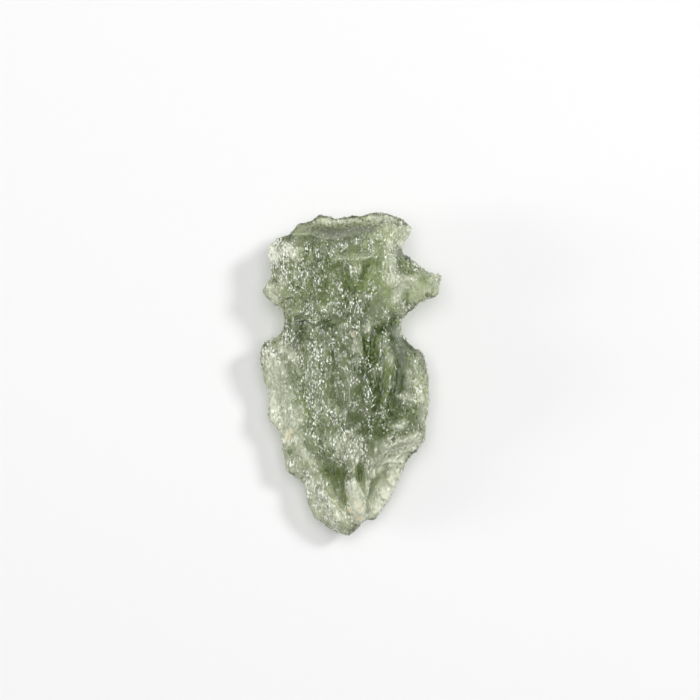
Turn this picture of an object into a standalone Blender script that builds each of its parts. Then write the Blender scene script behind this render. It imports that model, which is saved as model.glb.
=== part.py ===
"""A moldavite: one flat tear of green tektite glass, etched all over, lying on its belly.

Seen from above, +Y is the head end and the tip points to -Y. A notch cuts each flank below the
head, and a spur stands out of the head on the +X side. The glass is thickest on the +X side.
Everything is drawn in millimetres round the middle of the outline and turned to metres at the end.
"""

import bpy
import numpy as np
from mathutils import Vector, noise

MM = 0.001
LENGTH = 28.0
HEIGHT = 6.6
MOST_TRIANGLES = 9600

# How the mesh is made: a slab of the outline, cut in voxels, raised and sunk, then cut in voxels again.
CURVE_STEP = 0.25
SLAB_HALF = 0.6
SLAB_VOXEL = 0.2
STONE_VOXEL = 0.18
SMOOTH_ROUNDS = 2
SMOOTH_FACTOR = 0.5
FLAT_WITHIN = 0.04

# The outline seen from above, clockwise from the small peak on the head's top edge.
HEAD_TOP = [
    (-2.57, 13.75), (-1.75, 13.61), (-1.20, 13.40), (-0.43, 13.56), (0.52, 13.74), (0.76, 13.56),
    (1.42, 13.85), (2.46, 14.00), (3.55, 13.74), (4.53, 13.33), (4.82, 13.04), (5.11, 12.90),
    (5.28, 12.59), (5.19, 12.12), (4.70, 11.26), (4.41, 10.91),
]
SPUR = [
    (4.53, 10.57), (4.76, 10.28), (5.62, 9.64), (6.43, 8.92), (6.78, 8.78), (7.59, 8.69),
    (7.81, 8.43), (7.87, 8.21), (7.70, 7.86), (7.55, 7.63), (7.61, 7.29), (7.58, 6.94),
    (7.29, 6.59), (6.43, 6.36), (5.85, 5.93),
]
RIGHT_FLANK = [
    (4.85, 5.06), (4.46, 4.73), (4.38, 4.40), (4.46, 3.91), (4.63, 3.30), (4.90, 2.92),
    (5.62, 2.21), (6.17, 2.07), (6.38, 1.49), (6.54, 0.94), (6.74, -0.15), (6.88, -0.65),
    (6.74, -1.09), (6.82, -1.83), (6.71, -3.45), (6.47, -4.00), (6.54, -4.93), (6.44, -5.53),
    (6.27, -5.97), (6.00, -6.25), (5.83, -6.63), (5.04, -7.26), (4.90, -7.66), (4.49, -8.64),
    (4.21, -9.04), (4.08, -9.63), (3.81, -10.04), (3.71, -10.46), (3.56, -10.82), (2.96, -11.42),
    (2.74, -11.74), (2.53, -12.22),
]
TIP = [
    (2.10, -12.65), (1.78, -12.66), (1.35, -12.54), (1.02, -12.87), (0.76, -13.30), (0.34, -13.69),
    (-0.01, -13.92), (-0.43, -14.00), (-0.91, -13.85), (-1.94, -13.28), (-3.15, -12.42),
    (-3.35, -12.04), (-3.65, -11.46), (-3.85, -10.89), (-4.03, -9.68), (-4.28, -9.29),
]
LEFT_FLANK = [
    (-4.57, -8.95), (-5.15, -8.72), (-5.48, -8.44), (-5.64, -8.23), (-5.78, -7.24), (-5.92, -6.36),
    (-6.05, -5.74), (-5.98, -5.32), (-6.19, -4.88), (-6.91, -4.11), (-7.07, -3.78), (-7.12, -3.39),
    (-7.16, -2.63), (-7.04, -2.14), (-7.21, -1.74), (-7.18, -1.19), (-7.51, -0.75), (-7.67, 0.06),
    (-7.87, 1.00), (-7.83, 1.38), (-7.70, 2.37), (-7.34, 2.92), (-6.85, 3.08), (-6.74, 3.27),
    (-6.08, 3.52), (-5.84, 4.07), (-5.73, 4.60), (-5.94, 5.40),
]
HEAD_LEFT = [
    (-6.03, 5.80), (-6.68, 5.99), (-7.18, 6.48), (-7.67, 7.08), (-7.40, 7.63), (-6.96, 8.18),
    (-6.82, 8.67), (-6.99, 9.66), (-7.21, 10.51), (-7.02, 11.20), (-6.63, 11.42), (-6.36, 11.80),
    (-5.81, 11.91), (-5.26, 12.13), (-4.93, 12.46), (-4.71, 12.90), (-4.16, 13.12), (-3.40, 13.23),
]
OUTLINE = HEAD_TOP + SPUR + RIGHT_FLANK + TIP + LEFT_FLANK + HEAD_LEFT

# The rim's height over the ground climbs from the tip to the head and a little to the right.
RIM_MIDDLE = 2.6
RIM_CLIMB = (0.03, 0.06)
RIM_SWELL = 0.45
RIM_HALF = 0.24
THINNEST = 0.12

# The glass rises from the rim to its full height over this width, wider on the thin left flank.
SLOPE_WIDTH = 2.9
SLOPE_LEAN = -0.12
SLOPE_POWER = 0.95

# Masses of glass, each (x, y, x radius, y radius, rise), above the rim and below it.
TOP_BASE = 0.8
TOP_MASSES = [
    (3.3, -0.9, 2.8, 4.4, 1.7),
    (-0.8, -2.2, 3.0, 6.0, 0.8),
    (-0.6, 9.0, 4.8, 2.2, 1.1),
    (5.8, 8.0, 1.9, 1.2, 0.8),
    (0.4, 4.6, 3.6, 2.6, 0.6),
]
BELLY_BASE = 0.7
BELLY_MASSES = [
    (-0.5, 1.2, 4.0, 6.0, 2.0),
    (0.0, 9.5, 4.5, 2.8, 0.7),
    (0.2, -8.0, 2.6, 4.0, 0.6),
]
SWELL = 0.18
SWELL_LENGTH = 3.2
TOP_LAYER = 0.3
BELLY_LAYER = 5.3
RIM_LAYER = 9.3

# The belly is worn flat this far up from its lowest point, and the stone rests there.
GROUND_CUT = 0.4

# Scoops are shallow bowls left by chips and by etching, each
# (x, y, x radius, y radius, depth, climb along x, climb along y).
TOP_SCOOPS = [
    (-2.8, 12.6, 3.6, 1.5, 0.35, 0.00, -0.75),
    (-6.2, 11.0, 1.5, 1.7, 0.40, 0.45, -0.30),
    (3.6, 12.8, 1.9, 1.2, 0.30, 0.10, -0.65),
    (4.8, 11.7, 0.8, 1.5, 0.25, -0.60, -0.10),
    (5.7, 7.2, 2.3, 0.9, 0.30, -0.10, 0.50),
    (-6.6, 6.7, 1.2, 0.9, 0.25, 0.50, 0.30),
    (3.0, 5.7, 1.2, 1.1, 0.20, -0.10, 0.00),
    (3.5, -9.5, 1.5, 2.0, 0.70, -0.30, 0.10),
    (3.2, -10.9, 1.0, 0.9, 0.30, -0.35, 0.25),
    (6.1, 0.6, 0.8, 2.2, 0.30, -0.75, 0.00),
    (4.4, -4.2, 0.9, 0.6, 0.25, 0.00, 0.10),
    (0.6, -3.9, 0.7, 1.0, 0.35, 0.00, 0.00),
    (-6.3, -1.6, 1.5, 3.6, 0.25, 0.35, 0.00),
    (-4.6, -7.4, 1.2, 1.8, 0.30, 0.40, 0.05),
    (-3.0, -11.2, 1.1, 1.9, 0.25, 0.35, 0.15),
    (5.9, -1.4, 0.6, 0.8, 0.30, -0.10, 0.00),
    (-6.0, 2.9, 1.3, 0.9, 0.25, 0.20, -0.40),
]
BELLY_SCOOPS = [
    (-4.2, 8.4, 2.2, 2.8, 0.50, 0.25, -0.10),
    (4.4, 8.8, 2.0, 1.7, 0.45, -0.30, 0.00),
    (4.6, -3.4, 1.6, 2.6, 0.45, -0.35, 0.05),
    (-4.6, -3.8, 1.9, 3.0, 0.45, 0.35, 0.05),
    (-0.6, 12.2, 3.0, 1.3, 0.35, 0.00, -0.45),
    (1.4, -10.4, 1.6, 2.2, 0.45, -0.15, 0.25),
    (-2.6, 4.6, 1.6, 1.3, 0.40, 0.10, 0.00),
]
SCOOP_EDGE = 0.08

# Ridges stand up and grooves sink in, each (half width, rise, points along it).
TOP_STROKES = [
    (0.45, 0.30, [(-1.5, 9.5), (-0.2, 10.0), (2.1, 10.0), (3.0, 10.8)]),
    (0.45, 0.40, [(3.5, 11.8), (3.6, 9.7), (3.6, 7.1), (4.1, 5.7)]),
    (0.50, 0.35, [(-5.9, 10.6), (-4.4, 11.0), (-2.5, 11.1), (-0.7, 11.3), (1.0, 11.9)]),
    (0.40, 0.30, [(4.1, 10.2), (5.3, 9.2), (6.7, 8.4), (7.4, 8.1)]),
    (0.45, 0.30, [(0.6, 3.5), (0.6, 2.0), (0.4, 0.2), (0.1, -1.7)]),
    (0.45, 0.30, [(3.6, 3.3), (3.8, 1.3), (3.7, -1.5)]),
    (0.50, 0.25, [(-7.2, 2.1), (-6.4, 2.8), (-5.0, 3.5), (-4.0, 4.5)]),
    (0.50, 0.20, [(-5.7, 1.6), (-5.4, -1.5), (-5.0, -4.6)]),
    (0.45, 0.22, [(-2.5, 2.1), (-2.6, -0.5), (-2.5, -3.5)]),
    (0.50, 0.60, [(-0.1, -9.3), (0.5, -10.5), (0.8, -11.9)]),
    (0.28, 0.50, [(1.2, -8.9), (1.4, -10.1), (1.5, -11.3)]),
    (0.45, 0.30, [(-2.8, -9.7), (-1.9, -11.2), (-1.1, -12.6)]),
    (0.35, -0.45, [(0.0, 10.0), (0.1, 8.0), (0.2, 6.3), (0.1, 4.5)]),
    (0.40, -0.50, [(2.3, 4.5), (2.0, 3.2), (1.8, 1.3)]),
    (0.55, -0.40, [(-1.7, 2.3), (-1.5, 0.0), (-1.8, -2.5)]),
    (0.35, -0.55, [(-0.7, -7.7), (-0.6, -9.7), (-0.7, -11.4)]),
    (0.30, -0.40, [(0.9, -7.5), (1.0, -8.8), (1.3, -12.0)]),
    (0.45, -0.35, [(-4.2, 10.0), (-4.4, 7.7), (-3.9, 5.4)]),
    (0.40, -0.35, [(-2.0, 9.4), (-2.1, 7.1), (-1.8, 5.1)]),
    (0.40, -0.35, [(4.6, 3.8), (4.9, 2.0), (4.8, -0.5), (4.9, -3.0)]),
    (0.35, -0.40, [(2.8, 1.6), (2.7, -0.8), (2.4, -3.5)]),
    (0.45, -0.25, [(-4.1, 2.8), (-4.1, -0.5), (-3.7, -4.3)]),
    (0.40, -0.35, [(-0.7, -0.5), (-0.8, -3.5), (-1.1, -6.5)]),
    (0.40, -0.25, [(-3.1, -2.0), (-2.9, -4.8), (-2.5, -7.2)]),
    (0.35, -0.25, [(4.6, 7.8), (5.8, 7.5), (7.1, 7.3)]),
    (0.35, -0.35, [(1.8, 13.5), (2.0, 12.9)]),
]

# Ledges drop on their right-hand side, walking from the first point, each (reach, drop, points).
TOP_LEDGES = [
    (2.4, 1.05, [(1.2, -8.9), (2.3, -7.5), (3.0, -6.6), (3.8, -6.0), (5.1, -5.8), (6.6, -5.4)]),
    (1.4, 0.45, [(1.9, -9.0), (2.4, -8.2), (3.2, -7.6), (4.1, -7.3), (5.2, -7.0)]),
    (1.5, 0.40, [(0.3, 4.9), (-1.3, 4.3), (-2.8, 4.2), (-4.4, 4.9), (-5.8, 5.2)]),
    (1.3, 0.25, [(-2.6, -8.6), (-3.8, -7.5), (-4.6, -6.1), (-5.4, -4.6)]),
]
LEDGE_FACE = 0.3
LEDGE_TAPER = 0.2

# Etched channels run along the stone and fan a little, with these ranges of length, half width and depth.
ETCH_SEED = 11
ETCHED_HALF_WIDTH = 7
ETCHED_HALF_LENGTH = 13
TOP_CHANNELS = 110
BELLY_CHANNELS = 190
CHANNEL_LENGTH = (0.6, 3.0)
CHANNEL_WIDTH = (0.15, 0.32)
CHANNEL_DEPTH = (0.12, 0.30)
CHANNEL_LEAN = (0.06, 0.012)
CHANNEL_BOW = 0.1

# Pale bottle-green glass.
GLASS_GREEN = (0.36, 0.45, 0.25, 1)
GLASS_ROUGHNESS = 0.3
GLASS_IOR = 1.49


def closed_curve(points, step):
    """A smooth closed line through the points, with a point about every step."""
    points = np.array(points)
    before, after, beyond = (np.roll(points, shift, axis=0) for shift in (1, -1, -2))
    line = []
    for p0, p1, p2, p3 in zip(before, points, after, beyond):
        count = max(1, round(np.hypot(*(p2 - p1)) / step))
        t = (np.arange(count) / count)[:, None]
        bend = 2 * p0 - 5 * p1 + 4 * p2 - p3
        twist = 3 * p1 - p0 - 3 * p2 + p3
        line.append(0.5 * (2 * p1 + (p2 - p0) * t + bend * t**2 + twist * t**3))
    return np.concatenate(line)


def near_line(places, line):
    """Each place's distance from a line, its side (1 left, -1 right) and how far along it lies, 0 to 1."""
    line = np.array(line)
    start, run = line[:-1], np.diff(line, axis=0)
    length = np.hypot(run[:, 0], run[:, 1])
    before = np.concatenate([[0], np.cumsum(length)[:-1]])
    offset = places[:, None] - start
    share = np.clip((offset * run).sum(2) / length**2, 0, 1)
    gap = offset - share[..., None] * run
    distance = np.hypot(gap[..., 0], gap[..., 1])
    nearest = distance.argmin(1)
    row = np.arange(len(places))
    cross = run[nearest, 0] * offset[row, nearest, 1] - run[nearest, 1] * offset[row, nearest, 0]
    along = (before[nearest] + share[row, nearest] * length[nearest]) / length.sum()
    return distance[row, nearest], np.where(cross > 0, 1.0, -1.0), along


def smooth_step(share):
    """0 up to 0, 1 from 1, and an even S between them."""
    share = np.clip(share, 0, 1)
    return share * share * (3 - 2 * share)


def mass_height(places, base, masses):
    """The height of the glass's broad masses at each place."""
    height = np.full(len(places), base)
    for x, y, x_radius, y_radius, rise in masses:
        away = ((places - (x, y)) / (x_radius, y_radius)) ** 2
        height += rise * np.exp(-away.sum(1))
    return height


def swells(places, layer):
    """Broad uneven swells between -1 and 1, another set for each layer."""
    points = np.column_stack([places / SWELL_LENGTH, np.full(len(places), layer)])
    return np.array([noise.noise(Vector(point)) for point in points])


def channels(count, draw):
    """Etched channels drawn at random over the stone, as strokes."""
    strokes = []
    for _ in range(count):
        x = draw.uniform(-ETCHED_HALF_WIDTH, ETCHED_HALF_WIDTH)
        y = draw.uniform(-ETCHED_HALF_LENGTH, ETCHED_HALF_LENGTH)
        half = draw.uniform(*CHANNEL_LENGTH) / 2
        lean = draw.normal(0, CHANNEL_LEAN[0]) - CHANNEL_LEAN[1] * x
        bow = draw.normal(0, CHANNEL_BOW) * half
        line = [(x - lean * half, y + half), (x + bow, y), (x + lean * half, y - half)]
        strokes.append((draw.uniform(*CHANNEL_WIDTH), -draw.uniform(*CHANNEL_DEPTH), line))
    return strokes


def carve(places, height, scoops, strokes, ledges):
    """The height after its ledges, scoops, ridges and grooves."""
    for reach, drop, line in ledges:
        distance, side, along = near_line(places, line)
        taper = smooth_step(np.minimum(along, 1 - along) / LEDGE_TAPER)
        fall = smooth_step(distance / LEDGE_FACE) * np.exp(-((distance / reach) ** 2))
        height = height - np.where(side < 0, drop * taper * fall, 0)
    for x, y, x_radius, y_radius, depth, climb_x, climb_y in scoops:
        from_middle = places - (x, y)
        middle = np.hypot(from_middle[:, 0], from_middle[:, 1]).argmin()
        bowl = ((from_middle / (x_radius, y_radius)) ** 2).sum(1) - 1
        cut = height[middle] + depth * bowl + from_middle @ (climb_x, climb_y)
        height = (height + cut - np.hypot(height - cut, SCOOP_EDGE)) / 2
    for half_width, rise, line in strokes:
        distance, _, _ = near_line(places, line)
        height = height + rise * np.exp(-((distance / half_width) ** 2))
    return height


def side_height(places, slope, base, masses, layer, scoops, strokes, ledges):
    """How far one side of the stone stands off the rim at each place."""
    full = mass_height(places, base, masses) + SWELL * swells(places, layer)
    return np.maximum(carve(places, RIM_HALF + slope * full, scoops, strokes, ledges), THINNEST)


def new_object(name, data):
    """An object of this data in the scene."""
    obj = bpy.data.objects.new(name, data)
    bpy.context.scene.collection.objects.link(obj)
    return obj


def finished_mesh(obj):
    """The object's mesh with its modifiers applied; the object goes."""
    graph = bpy.context.evaluated_depsgraph_get()
    mesh = bpy.data.meshes.new_from_object(obj.evaluated_get(graph))
    bpy.data.objects.remove(obj)
    return mesh


def voxel_mesh(mesh, size, smooth_rounds):
    """The mesh made again from even voxels and smoothed."""
    obj = new_object("voxels", mesh)
    remesh = obj.modifiers.new("Remesh", "REMESH")
    remesh.mode = "VOXEL"
    remesh.voxel_size = size
    smooth = obj.modifiers.new("Smooth", "SMOOTH")
    smooth.factor = SMOOTH_FACTOR
    smooth.iterations = smooth_rounds
    return finished_mesh(obj)


def decimated(mesh, most):
    """The mesh with its flatter stretches made of fewer triangles."""
    mesh.calc_loop_triangles()
    obj = new_object("decimated", mesh)
    decimate = obj.modifiers.new("Decimate", "DECIMATE")
    decimate.ratio = most / len(mesh.loop_triangles)
    decimate.use_collapse_triangulate = True
    return finished_mesh(obj)


def read_points(mesh):
    """The mesh's vertices as rows of x, y and z."""
    points = np.empty(len(mesh.vertices) * 3)
    mesh.vertices.foreach_get("co", points)
    return points.reshape(-1, 3)


def write_points(mesh, points):
    """Move the mesh's vertices to these rows of x, y and z."""
    mesh.vertices.foreach_set("co", points.ravel())
    mesh.update()


def outline_slab(line):
    """A slab of the outline's shape, lying round the height 0."""
    curve = bpy.data.curves.new("outline", "CURVE")
    curve.dimensions = "2D"
    curve.fill_mode = "BOTH"
    curve.extrude = SLAB_HALF
    spline = curve.splines.new("POLY")
    spline.points.add(len(line) - 1)
    for point, (x, y) in zip(spline.points, line):
        point.co = (x, y, 0, 1)
    spline.use_cyclic_u = True
    return finished_mesh(new_object("outline", curve))


def stone_mesh():
    """The stone, in millimetres, with its flat spot on the ground."""
    line = closed_curve(OUTLINE, CURVE_STEP)
    mesh = voxel_mesh(outline_slab(line), SLAB_VOXEL, 0)
    points = read_points(mesh)
    places = points[:, :2]
    to_rim, _, _ = near_line(places, np.vstack([line, line[:1]]))
    share = np.clip(to_rim / (SLOPE_WIDTH + SLOPE_LEAN * places[:, 0]), 0, 1)
    slope = (share * (2 - share)) ** SLOPE_POWER

    draw = np.random.default_rng(ETCH_SEED)
    top_strokes = TOP_STROKES + channels(TOP_CHANNELS, draw)
    belly_strokes = channels(BELLY_CHANNELS, draw)
    top = side_height(places, slope, TOP_BASE, TOP_MASSES, TOP_LAYER, TOP_SCOOPS, top_strokes,
                      TOP_LEDGES)
    belly = side_height(places, slope, BELLY_BASE, BELLY_MASSES, BELLY_LAYER, BELLY_SCOOPS, belly_strokes, [])

    across = np.clip(points[:, 2] / SLAB_HALF, -1, 1)
    rim = RIM_MIDDLE + places @ RIM_CLIMB + RIM_SWELL * swells(places, RIM_LAYER)
    height = rim + np.where(across > 0, across * top, across * belly)
    points[:, 2] = np.maximum(height, height.min() + GROUND_CUT)
    write_points(mesh, points)

    mesh = decimated(voxel_mesh(mesh, STONE_VOXEL, SMOOTH_ROUNDS), MOST_TRIANGLES)
    points = read_points(mesh)
    low, high = points.min(0), points.max(0)
    middle = (low + high) / 2
    size = (LENGTH / (high[1] - low[1]),) * 2 + (HEIGHT / (high[2] - low[2]),)
    points = (points - (middle[0], middle[1], low[2])) * size
    points[points[:, 2] < FLAT_WITHIN, 2] = 0
    write_points(mesh, points * MM)
    return mesh


def glass():
    """Pale bottle-green glass with an etched, half matt skin."""
    material = bpy.data.materials.new("moldavite glass")
    material.use_nodes = True
    shader = material.node_tree.nodes["Principled BSDF"]
    shader.inputs["Base Color"].default_value = GLASS_GREEN
    shader.inputs["Roughness"].default_value = GLASS_ROUGHNESS
    shader.inputs["IOR"].default_value = GLASS_IOR
    shader.inputs["Transmission Weight"].default_value = 1
    return material


def main():
    for obj in list(bpy.data.objects):
        bpy.data.objects.remove(obj)
    collection = bpy.data.collections.new("moldavite")
    bpy.context.scene.collection.children.link(collection)
    mesh = stone_mesh()
    mesh.name = "moldavite"
    mesh.materials.clear()
    mesh.materials.append(glass())
    collection.objects.link(bpy.data.objects.new("moldavite", mesh))


main()
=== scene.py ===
import math

import bmesh
import bpy
import numpy as np
from mathutils import Matrix, Vector, noise


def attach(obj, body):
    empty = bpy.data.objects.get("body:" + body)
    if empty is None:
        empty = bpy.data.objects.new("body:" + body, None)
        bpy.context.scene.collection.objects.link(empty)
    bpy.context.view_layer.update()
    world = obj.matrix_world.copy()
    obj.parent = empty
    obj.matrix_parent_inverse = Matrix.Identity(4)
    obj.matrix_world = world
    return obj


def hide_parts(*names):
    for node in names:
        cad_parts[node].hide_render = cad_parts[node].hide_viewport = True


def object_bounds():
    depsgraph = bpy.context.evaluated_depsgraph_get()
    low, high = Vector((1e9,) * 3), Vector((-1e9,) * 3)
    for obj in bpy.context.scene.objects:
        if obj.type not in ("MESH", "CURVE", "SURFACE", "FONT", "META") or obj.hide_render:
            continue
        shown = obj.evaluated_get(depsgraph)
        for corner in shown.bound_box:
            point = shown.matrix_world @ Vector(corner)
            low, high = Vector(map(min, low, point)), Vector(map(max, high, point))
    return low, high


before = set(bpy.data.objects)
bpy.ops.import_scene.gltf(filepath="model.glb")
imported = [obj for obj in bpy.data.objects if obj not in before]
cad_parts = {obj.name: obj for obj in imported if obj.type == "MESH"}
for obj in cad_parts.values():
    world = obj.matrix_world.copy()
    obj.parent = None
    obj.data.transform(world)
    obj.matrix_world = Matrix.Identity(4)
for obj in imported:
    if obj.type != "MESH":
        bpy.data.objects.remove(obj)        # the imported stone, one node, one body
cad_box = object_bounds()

# Millimetres to metres. The stone is shaped in millimetres and turned to metres at the end.
MM = 0.001
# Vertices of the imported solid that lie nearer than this, in metres, are one.
MERGE_DISTANCE = 1e-7

# The even grid, in millimetres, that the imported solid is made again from, and the rounds of smoothing
# that melt its facets. In each round a vertex moves this share of the way to its neighbours.
SKIN_VOXEL = 0.085
MELT_ROUNDS = 6
SMOOTH_SHARE = 0.5
# Rounds of smoothing in the calm parts, and the levels that their strength is kept in.
CALM_ROUNDS = 47
CALM_LEVELS = 10
# A vertex counts as upward by its normal's height times the rate, plus the start, from 0 to 1.
UPWARD_RATE = 2
UPWARD_START = 0.5
# Vertices that face down more than this are the belly, which is made of fewer triangles.
BELLY_FACING = -0.1
MOST_TRIANGLES = 196000

# The camera is straight above, aimed a little past the stone's middle towards its head. The picture
# is this wide at this height, in millimetres.
VIEW_WIDTH = 60.2
VIEW_HEIGHT = 4.0
VIEW_MIDDLE = (-0.05, 2.13)
LENS = 110
SENSOR = 36
CLIP_START = 0.005

# Soft boxes, as (name, azimuth and elevation in degrees, size in metres, power in watts). Azimuth 0 is
# +Y and 90 is +X.
LIGHTS = [
    ("overhead", 350, 80, 0.40, 1.53),
    ("key", 62, 42, 0.11, 1.05),
    ("fill", 268, 16, 0.15, 0.74),
]
LIGHT_DISTANCE = 0.5
ROOM_LIGHT = 0.2
FLOOR_SIZE = 1.2


def linear(colour):
    """An sRGB hex colour as linear red, green, blue and alpha."""
    parts = [int(colour[i:i + 2], 16) / 255 for i in (0, 2, 4)]
    return tuple(p / 12.92 if p <= 0.04045 else ((p + 0.055) / 1.055) ** 2.4 for p in parts) + (1.0,)


def add_node(tree, kind, inputs=None, **settings):
    """A node with its settings and links.

    An input is given a value, the socket that feeds it, or a node whose first output feeds it.
    """
    node = tree.nodes.new(kind)
    for name, value in settings.items():
        setattr(node, name, value)
    for name, value in (inputs or {}).items():
        if isinstance(value, bpy.types.Node):
            value = value.outputs[0]
        if isinstance(value, bpy.types.NodeSocket):
            tree.links.new(value, node.inputs[name])
        else:
            node.inputs[name].default_value = value
    return node


def smooth_step(share):
    """0 up to 0, 1 from 1, and an even S between them."""
    share = np.clip(share, 0, 1)
    return share * share * (3 - 2 * share)


def near_line(places, line):
    """Each place's distance from a line, its side (1 left, -1 right) and how far along it lies, 0 to 1."""
    line = np.array(line, float)
    start, run = line[:-1], np.diff(line, axis=0)
    length = np.hypot(run[:, 0], run[:, 1])
    before = np.concatenate([[0], np.cumsum(length)[:-1]])
    offset = places[:, None] - start
    share = np.clip((offset * run).sum(2) / length**2, 0, 1)
    gap = offset - share[..., None] * run
    distance = np.hypot(gap[..., 0], gap[..., 1])
    nearest = distance.argmin(1)
    row = np.arange(len(places))
    cross = run[nearest, 0] * offset[row, nearest, 1] - run[nearest, 1] * offset[row, nearest, 0]
    along = (before[nearest] + share[row, nearest] * length[nearest]) / length.sum()
    return distance[row, nearest], np.where(cross > 0, 1.0, -1.0), along


def read_points(mesh):
    """The place of each vertex, as rows of x, y and z."""
    values = np.empty(len(mesh.vertices) * 3)
    mesh.vertices.foreach_get("co", values)
    return values.reshape(-1, 3)


def read_normals(mesh):
    """The normal of each vertex, as rows of x, y and z."""
    values = np.empty(len(mesh.vertices) * 3)
    mesh.vertex_normals.foreach_get("vector", values)
    return values.reshape(-1, 3)


def write_points(mesh, points):
    """Move the mesh's vertices to these rows of x, y and z."""
    mesh.vertices.foreach_set("co", points.ravel())
    mesh.update()


def finished_mesh(obj):
    """The object's mesh with its modifiers applied; the object goes."""
    graph = bpy.context.evaluated_depsgraph_get()
    mesh = bpy.data.meshes.new_from_object(obj.evaluated_get(graph))
    bpy.data.objects.remove(obj)
    return mesh


def new_object(name, data):
    """An object of this data in the scene."""
    obj = bpy.data.objects.new(name, data)
    bpy.context.scene.collection.objects.link(obj)
    return obj


# The stone

# Broken edges: the glass stands up to the left of the line and falls away sharply on its right.
# Each is (reach to the left, rise, paleness as painted light on the raised side, points along it), in
# millimetres.
EDGES = [
    (1.30, 0.30, 0.95, [(1.15, -12.3), (1.25, -11.5), (1.3, -11.0), (1.15, -10.4), (0.9, -9.8), (0.6, -9.1),
                        (0.35, -8.7)]),
    (0.45, 0.22, 0.95, [(1.3, -10.9), (1.5, -10.2), (1.65, -9.6), (1.75, -9.0)]),
    (0.70, 0.14, 1.00, [(3.2, -6.75), (3.7, -6.55), (4.4, -6.4), (5.0, -6.3), (5.6, -5.95), (6.0, -5.4)]),
    (0.50, 0.12, 1.00, [(2.5, -7.9), (3.0, -7.65), (3.8, -7.58), (4.8, -7.75)]),
    (0.50, 0.16, 0.80, [(2.1, -9.1), (2.1, -8.3), (2.3, -7.9), (2.9, -7.5), (3.2, -7.0), (3.4, -6.6)]),
    (0.30, 0.10, 1.00, [(4.4, -5.6), (5.0, -5.55), (5.6, -5.3), (6.0, -4.9)]),
    (0.12, 0.06, 1.00, [(0.05, 9.3), (0.0, 8.7), (0.1, 8.2)]),
    (0.12, 0.06, 1.00, [(0.45, 9.3), (0.35, 8.7), (0.4, 8.3)]),
    (0.12, 0.06, 0.90, [(0.8, 9.1), (0.7, 8.5)]),
    (0.30, 0.20, 0.85, [(0.0, -8.4), (0.35, -8.1), (0.62, -7.7), (0.72, -7.2), (0.7, -6.8)]),
    (0.45, 0.15, 0.75, [(2.5, -10.3), (2.8, -10.8), (3.2, -10.95), (3.6, -10.7)]),
    (0.40, 0.12, 0.60, [(3.1, -9.1), (3.5, -9.6), (3.8, -9.75), (4.1, -9.5)]),
    (0.40, 0.12, 0.70, [(1.9, -11.3), (2.2, -11.9), (2.5, -12.0), (2.8, -11.6)]),
    (0.45, 0.05, 0.40, [(-1.8, 9.6), (-0.8, 9.9), (0.0, 9.85), (0.9, 9.75), (1.6, 9.95), (2.4, 10.6)]),
    (1.20, 0.16, 0.18, [(-5.7, 12.25), (-4.5, 12.1), (-3.3, 12.15), (-2.6, 11.75), (-1.4, 11.55),
                        (-0.5, 11.9), (0.3, 12.2), (1.1, 11.8), (2.0, 11.9), (3.0, 11.5)]),
    (0.80, 0.14, 0.25, [(5.4, 2.4), (5.6, 1.6), (5.55, 0.8), (5.6, 0.2), (6.2, -0.6), (6.5, -1.4)]),
    (0.35, 0.14, 0.45, [(2.1, 13.1), (2.4, 13.3), (2.7, 13.7)]),
    (0.30, 0.14, 0.60, [(3.25, 12.2), (3.15, 12.7), (3.2, 13.1)]),
    (0.40, 0.16, 0.75, [(4.0, 12.1), (3.95, 12.5), (3.7, 13.0)]),
    (0.35, 0.16, 0.70, [(4.75, 11.8), (4.75, 12.3), (4.55, 12.9)]),
    (0.35, 0.16, 0.40, [(1.1, 1.5), (1.05, 2.4), (0.95, 3.2), (0.5, 3.9)]),
    (0.40, 0.14, 0.35, [(0.05, -2.6), (-0.1, -1.2), (-0.2, 0.0), (-0.4, 1.0)]),
    (0.45, 0.14, 0.30, [(-3.6, 9.4), (-3.8, 8.2), (-4.2, 7.2)]),
    (0.40, 0.12, 0.35, [(3.0, 8.0), (3.15, 9.2), (3.15, 10.3), (3.0, 11.4)]),
    (0.50, 0.06, 0.20, [(3.1, -4.6), (4.2, -4.6), (5.2, -4.7), (6.0, -4.6)]),
    (0.35, 0.14, 0.20, [(-0.1, -3.2), (0.5, -3.1), (1.3, -3.2), (1.8, -3.4)]),
    (0.35, 0.12, 0.20, [(-4.6, 4.7), (-3.9, 4.9), (-3.0, 4.5), (-2.2, 5.3), (-1.4, 5.4)]),
    (0.30, 0.12, 0.60, [(5.6, -1.4), (5.9, -1.7), (6.2, -1.5), (6.3, -1.0)]),
    (0.30, 0.12, 0.60, [(5.0, -2.1), (5.6, -2.3), (6.2, -2.3)]),
]
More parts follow.
